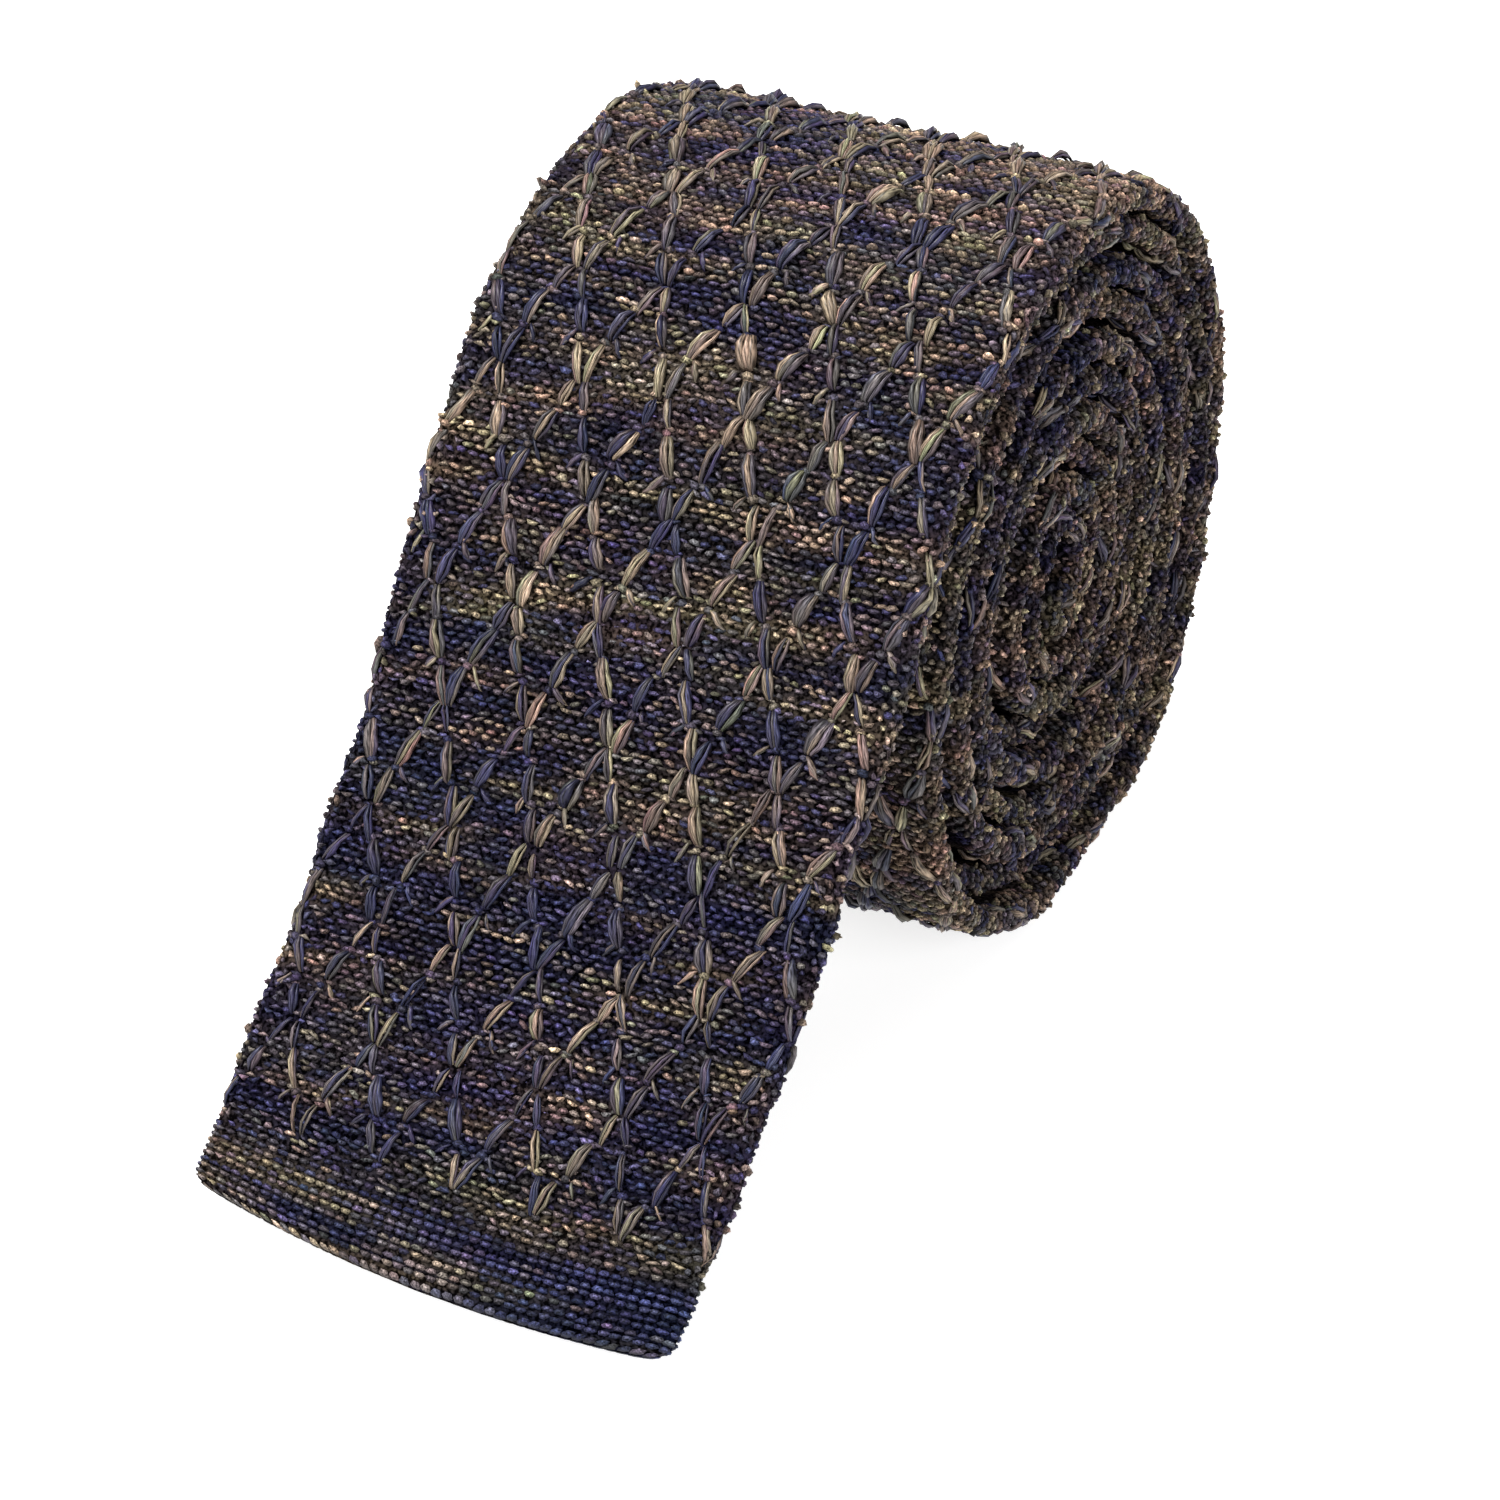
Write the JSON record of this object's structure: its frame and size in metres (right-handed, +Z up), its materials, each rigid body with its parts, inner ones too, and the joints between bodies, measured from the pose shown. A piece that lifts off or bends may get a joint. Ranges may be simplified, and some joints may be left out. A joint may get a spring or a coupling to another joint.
{
  "type": "knit tie",
  "caption": "Rolled knit tie with square ends: a flat knitted tube folded in half and wound up, its wide end slanting down in front.",
  "frame": {"origin": "on the surface the tie lies on, at the middle of the bottom of its box", "axes": "+X along the roll, across the width of the tie; the free end points to -Y; +Z up"},
  "size_m": [0.057, 0.1356, 0.083],
  "materials": {
    "knit": "marled silk yarn in blue, sand and mauve, knitted, slightly lustrous"
  },
  "bodies": {
    "root": {"tie": "knit"}
  },
  "joints": []
}
